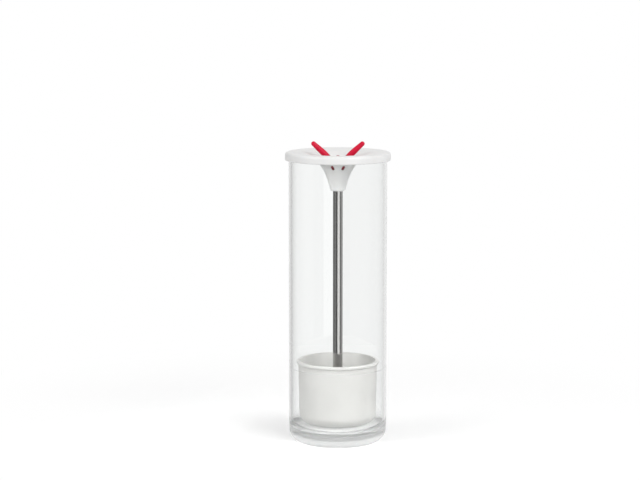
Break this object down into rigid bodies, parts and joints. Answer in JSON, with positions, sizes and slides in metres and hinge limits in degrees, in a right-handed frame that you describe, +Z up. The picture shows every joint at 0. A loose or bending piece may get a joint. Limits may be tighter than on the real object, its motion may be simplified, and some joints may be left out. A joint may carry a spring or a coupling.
{
  "type": "herb keeper",
  "caption": "Tall glass vase for fresh herbs with a funnel lid, a forked grip and a basket that lifts out on a watering tube.",
  "frame": {"origin": "middle of the vase's foot, on the surface it stands on", "axes": "+Z up along the vase, front towards -Y, the grip's two arms spread along X"},
  "size_m": [0.102, 0.102, 0.2935],
  "materials": {
    "clear_glass": "clear, polished",
    "white_plastic": "satin moulded white",
    "silicone": "matt translucent white",
    "red_plastic": "satin crimson",
    "stainless_steel": "polished",
    "steel_fastener": "plain turned",
    "frosted_plastic": "frosted translucent white"
  },
  "bodies": {
    "vase": {"glass_vase": "clear_glass"},
    "insert": {"lid": "white_plastic", "lid_gasket": "silicone", "grip": "red_plastic", "grip_stud": "steel_fastener", "tube": "stainless_steel", "tube_spider": "steel_fastener", "tube_plug": "steel_fastener", "basket": "frosted_plastic", "basket_screw": "steel_fastener", "basket_washer": "steel_fastener"}
  },
  "joints": [
    {"name": "insert_lift", "type": "slide", "parent": "vase", "child": "insert", "axis": [0, 0, 1], "range_m": [0, 0.265]}
  ]
}
